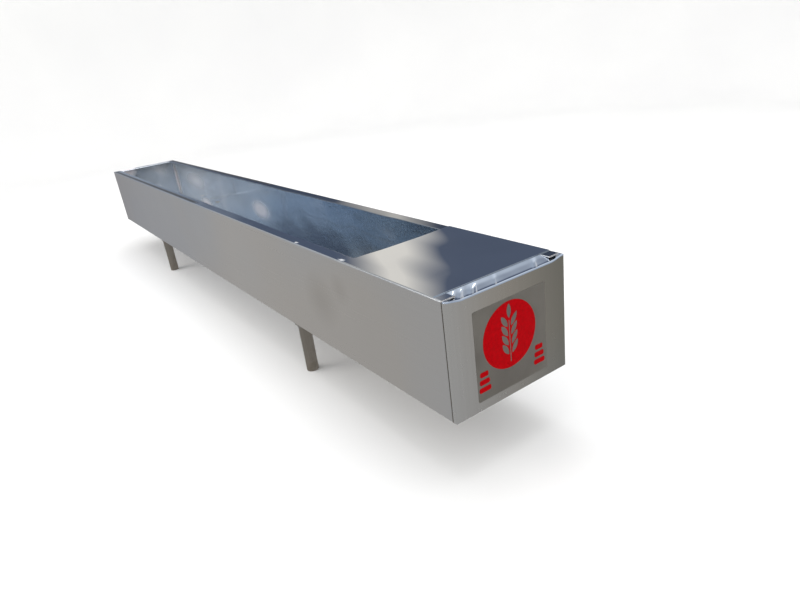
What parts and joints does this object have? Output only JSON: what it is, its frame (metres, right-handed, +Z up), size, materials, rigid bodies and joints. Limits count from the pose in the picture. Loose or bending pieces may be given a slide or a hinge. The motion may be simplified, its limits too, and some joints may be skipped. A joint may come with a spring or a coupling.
{
  "type": "trough feeder",
  "caption": "Long box-section stainless trough on pipe legs, with inward rims, a lift-off cover over the float-valve chamber at one end, and a drain plug.",
  "frame": {"origin": "middle of the trough's plan, on the ground", "axes": "+X along the length towards the covered chamber, -Y towards the front wall, +Z up"},
  "size_m": [3.0006, 0.3673, 0.4447],
  "materials": {
    "body_steel": "satin outside, bright inside",
    "end_steel": "dark satin",
    "mirror_steel": "mirror polished",
    "weld_steel": "ground weld",
    "pipe_steel": "dull satin",
    "pin_steel": "bright",
    "brass": "turned",
    "rubber": "matt",
    "film": "satin adhesive film",
    "red_mark": "printed red",
    "nylon": "moulded",
    "float_plastic": "moulded"
  },
  "bodies": {
    "trough": {"trough_shell": "body_steel", "chamber_end_pan": "end_steel", "far_end_pan": "body_steel", "chamber_end_seam": "weld_steel", "far_end_seam": "weld_steel", "baffle": "body_steel", "front_chamber_leg": "pipe_steel", "back_chamber_leg": "pipe_steel", "front_far_leg": "pipe_steel", "back_far_leg": "pipe_steel", "leg_pads": "pipe_steel", "leg_welds": "weld_steel", "foot_discs": "pipe_steel", "drain_socket": "pipe_steel", "badge_film": "film", "badge_mark": "red_mark", "valve_body": "brass", "valve_end_cap": "brass", "valve_seat": "nylon", "inlet_washers": "rubber", "inlet_locknut": "brass", "lever_pin": "pin_steel"},
    "cover": {"cover_plate": "mirror_steel", "cover_cleats": "body_steel"},
    "float": {"float_arm": "brass", "arm_nut": "pin_steel", "float_ball": "float_plastic"},
    "piston": {"valve_piston": "brass", "piston_washer": "rubber"},
    "drain_plug": {"drain_plug": "brass", "drain_washer": "rubber"}
  },
  "joints": [
    {"name": "cover_lift", "type": "slide", "parent": "trough", "child": "cover", "axis": [0, 0, 1], "range_m": [0, 0.12]},
    {"name": "float_arm_swing", "type": "hinge", "parent": "trough", "child": "float", "pos_m": [1.305, 0.131, 0.369], "axis": [-1, 0, 0], "range_deg": [0, 30]},
    {"name": "piston_slide", "type": "slide", "parent": "trough", "child": "piston", "axis": [0, 1, 0], "range_m": [0, 0.0055]},
    {"name": "drain_plug_out", "type": "slide", "parent": "trough", "child": "drain_plug", "axis": [0, 0, -1], "range_m": [0, 0.035]}
  ],
  "couplings": [
    {"joint": "piston_slide", "follows": "float_arm_swing", "m_per_rad": 0.0105}
  ]
}
